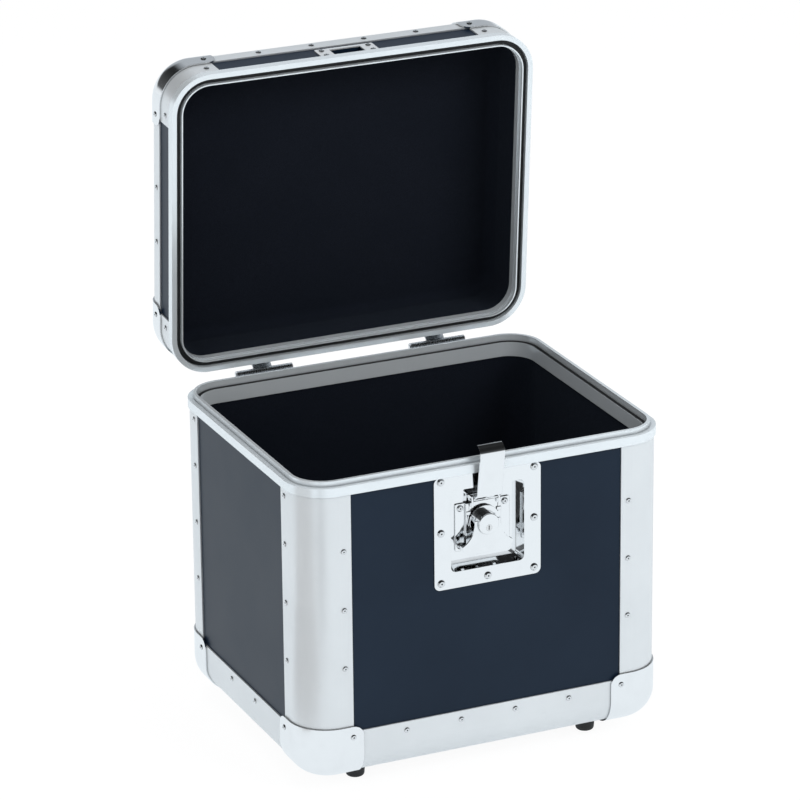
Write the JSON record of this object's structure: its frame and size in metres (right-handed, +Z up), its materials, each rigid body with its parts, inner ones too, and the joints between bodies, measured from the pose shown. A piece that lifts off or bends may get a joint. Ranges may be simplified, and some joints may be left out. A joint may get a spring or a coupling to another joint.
{
  "type": "record carrying case",
  "caption": "Record carrying case with a hinged lid held open, riveted aluminium edging, ball corners and a recessed butterfly latch.",
  "frame": {"origin": "on the floor, under the middle of the open case", "axes": "+X to the case's own right as seen from the latch side, -Y towards the latch side (front), +Z up"},
  "size_m": [0.3894, 0.4116, 0.6441],
  "materials": {
    "laminate": "smooth dark laminate on plywood",
    "section_aluminium": "satin anodised",
    "corner_metal": "bright plated pressing",
    "latch_chrome": "polished plate",
    "fastener_steel": "bright zinc plate",
    "hinge_steel": "zinc plate",
    "plug_steel": "turned",
    "lining_felt": "black felt over thin foam",
    "rubber": "moulded",
    "grip_rubber": "moulded, satin"
  },
  "bodies": {
    "base": {"front_panel": "laminate", "back_panel": "laminate", "left_panel": "laminate", "right_panel": "laminate", "bottom_panel": "laminate", "corner_post_front_left": "section_aluminium", "corner_post_front_right": "section_aluminium", "corner_post_back_left": "section_aluminium", "corner_post_back_right": "section_aluminium", "bottom_profile_front": "section_aluminium", "bottom_profile_back": "section_aluminium", "bottom_profile_left": "section_aluminium", "bottom_profile_right": "section_aluminium", "bottom_corner_front_left": "corner_metal", "bottom_corner_front_right": "corner_metal", "bottom_corner_back_left": "corner_metal", "bottom_corner_back_right": "corner_metal", "base_rim": "section_aluminium", "wall_lining": "lining_felt", "floor_pad": "lining_felt", "rubber_feet": "rubber", "foot_screws": "fastener_steel", "latch_dish": "latch_chrome", "latch_mounting_plate": "latch_chrome", "latch_rivets": "fastener_steel", "hinge_base_leaves": "hinge_steel", "hinge_pins": "fastener_steel", "base_rivets": "fastener_steel"},
    "lid": {"lid_front_panel": "laminate", "lid_back_panel": "laminate", "lid_left_panel": "laminate", "lid_right_panel": "laminate", "lid_top_panel": "laminate", "lid_post_front_left": "section_aluminium", "lid_post_front_right": "section_aluminium", "lid_post_back_left": "section_aluminium", "lid_post_back_right": "section_aluminium", "lid_profile_front": "section_aluminium", "lid_profile_back": "section_aluminium", "lid_profile_left": "section_aluminium", "lid_profile_right": "section_aluminium", "lid_corner_front_left": "corner_metal", "lid_corner_front_right": "corner_metal", "lid_corner_back_left": "corner_metal", "lid_corner_back_right": "corner_metal", "lid_rim": "section_aluminium", "lid_lining": "lining_felt", "strike_plate": "latch_chrome", "lid_rivets": "fastener_steel", "hinge_lid_leaves": "hinge_steel", "handle_brackets": "latch_chrome"},
    "slide": {"latch_slide": "latch_chrome", "hook_pin": "fastener_steel"},
    "hook": {"latch_hook": "latch_chrome"},
    "turn": {"latch_cam": "latch_chrome", "lock_housing": "latch_chrome", "latch_wing": "latch_chrome"},
    "plug": {"lock_key_plug": "plug_steel"},
    "handle": {"handle_bow": "latch_chrome", "handle_grip": "grip_rubber"}
  },
  "joints": [
    {"name": "lid_hinge", "type": "hinge", "parent": "base", "child": "lid", "pos_m": [0, 0.1265, 0.3185], "axis": [1, 0, 0], "range_deg": [0, 86]},
    {"name": "latch_turn", "type": "hinge", "parent": "base", "child": "turn", "pos_m": [0, -0.189, 0.255], "axis": [0, 1, 0], "range_deg": [0, 90]},
    {"name": "hook_lift", "type": "slide", "parent": "base", "child": "slide", "axis": [0, 0, 1], "range_m": [-0.005, 0]},
    {"name": "hook_tilt", "type": "hinge", "parent": "slide", "child": "hook", "pos_m": [0, -0.187, 0.279], "axis": [1, 0, 0], "range_deg": [-8.5, 11.5]},
    {"name": "key_turn", "type": "hinge", "parent": "turn", "child": "plug", "pos_m": [0, -0.194, 0.2513], "axis": [0, 1, 0], "range_deg": [0, 90]},
    {"name": "handle_fold", "type": "hinge", "parent": "lid", "child": "handle", "pos_m": [0, 0.19479, 0.51023], "axis": [1, 0, 0], "range_deg": [0, 110]}
  ],
  "couplings": [
    {"joint": "hook_lift", "follows": "latch_turn", "m_per_rad": -0.0031831}
  ]
}
